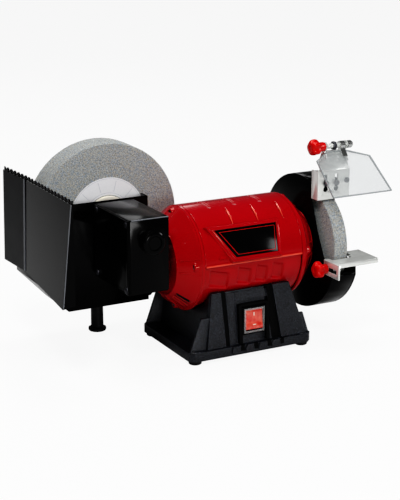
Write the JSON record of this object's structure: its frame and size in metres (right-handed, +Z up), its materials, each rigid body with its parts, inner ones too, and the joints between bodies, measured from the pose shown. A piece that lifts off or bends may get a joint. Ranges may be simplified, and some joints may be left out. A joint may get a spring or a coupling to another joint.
{
  "type": "bench grinder",
  "caption": "Bench grinder with a fast dry grinding wheel in a guard and a large slow wet wheel in a water tank, driven by one motor.",
  "frame": {"origin": "middle of the footprint box, on the surface that the machine stands on", "axes": "+X along the motor shaft from the wet wheel to the dry wheel, +Y to the back, +Z up"},
  "size_m": [0.4684, 0.258, 0.2704],
  "materials": {
    "red_paint": "gloss",
    "black_plastic": "semi-gloss",
    "base_plastic": "fine texture",
    "guard_paint": "semi-gloss",
    "stone": "open abrasive grain",
    "steel": "bright",
    "dark_steel": "dull",
    "zinc": "zinc plated",
    "copper": "enamelled wire",
    "bronze": "machined",
    "rubber": "matte",
    "red_plastic": "semi-gloss",
    "switch_red": "clear red",
    "cream_plastic": "satin",
    "paper": "matte",
    "clear_plastic": "clear"
  },
  "bodies": {
    "frame": {"base_stand": "base_plastic", "base_bottom_plate": "dark_steel", "rubber_foot_1": "rubber", "rubber_foot_2": "rubber", "rubber_foot_3": "rubber", "rubber_foot_4": "rubber", "run_capacitor": "zinc", "cable_gland": "rubber", "switch_frame": "black_plastic", "motor_shell": "red_paint", "badge_plate": "black_plastic", "end_cap_left": "red_paint", "end_cap_right": "red_paint", "bearing_left": "steel", "bearing_right": "steel", "winding_left": "copper", "winding_right": "copper", "stator_core": "dark_steel", "gearbox_housing": "black_plastic", "gearbox_cover": "black_plastic", "cover_screw_1": "steel", "cover_screw_2": "steel", "cover_screw_3": "steel", "cover_screw_4": "steel", "bush_front": "bronze", "bush_rear": "bronze", "water_tank": "black_plastic", "tank_foot": "rubber", "drain_plug": "rubber", "tool_rest_plate": "black_plastic", "guard_body": "guard_paint", "guard_cover": "guard_paint", "guard_screw_1": "steel", "guard_screw_2": "steel", "guard_screw_3": "steel", "rest_bolt": "steel", "bracket_screw_1": "dark_steel", "bracket_screw_2": "dark_steel"},
    "motor_rotor": {"rotor_core": "dark_steel", "motor_shaft": "steel", "worm": "steel", "dry_stone": "stone", "dry_flange_inner": "zinc", "dry_flange_outer": "zinc", "dry_nut": "steel"},
    "wet_wheel": {"wet_shaft": "steel", "worm_wheel": "bronze", "wet_stone": "stone", "stone_label": "paper", "wet_flange_front": "cream_plastic", "wet_flange_back": "cream_plastic", "wet_nut": "steel"},
    "switch": {"switch_rocker": "switch_red"},
    "dry_rest": {"dry_tool_rest": "steel"},
    "rest_knob": {"rest_knob": "red_plastic"},
    "shield_mount": {"shield_bracket": "zinc", "shield_bolt": "steel"},
    "shield": {"eye_shield": "clear_plastic", "shield_strap": "steel"},
    "shield_knob": {"shield_knob": "red_plastic"}
  },
  "joints": [
    {"name": "motor_spin", "type": "hinge", "parent": "frame", "child": "motor_rotor", "pos_m": [0.03175, -0.023, 0.125], "axis": [1, 0, 0], "continuous": true},
    {"name": "wet_spin", "type": "hinge", "parent": "frame", "child": "wet_wheel", "pos_m": [-0.11025, 0.073, 0.1695], "axis": [0, 1, 0], "continuous": true},
    {"name": "switch_rock", "type": "hinge", "parent": "frame", "child": "switch", "pos_m": [0.03125, -0.083, 0.048], "axis": [1, 0, 0], "range_deg": [0, 14]},
    {"name": "dry_rest_slide", "type": "slide", "parent": "frame", "child": "dry_rest", "axis": [0, -1, 0], "range_m": [-0.0025, 0.006]},
    {"name": "rest_knob_turn", "type": "hinge", "parent": "frame", "child": "rest_knob", "pos_m": [0.12775, -0.101, 0.105], "axis": [1, 0, 0], "range_deg": [0, 90]},
    {"name": "shield_height", "type": "slide", "parent": "frame", "child": "shield_mount", "axis": [0, 0, 1], "range_m": [0, 0.006]},
    {"name": "shield_tilt", "type": "hinge", "parent": "shield_mount", "child": "shield", "pos_m": [0.16275, -0.056, 0.259], "axis": [-1, 0, 0], "range_deg": [-3, 60]},
    {"name": "shield_knob_turn", "type": "hinge", "parent": "shield_mount", "child": "shield_knob", "pos_m": [0.14575, -0.056, 0.259], "axis": [1, 0, 0], "range_deg": [0, 90]}
  ],
  "couplings": [
    {"joint": "wet_spin", "follows": "motor_spin", "ratio": 0.045455}
  ]
}
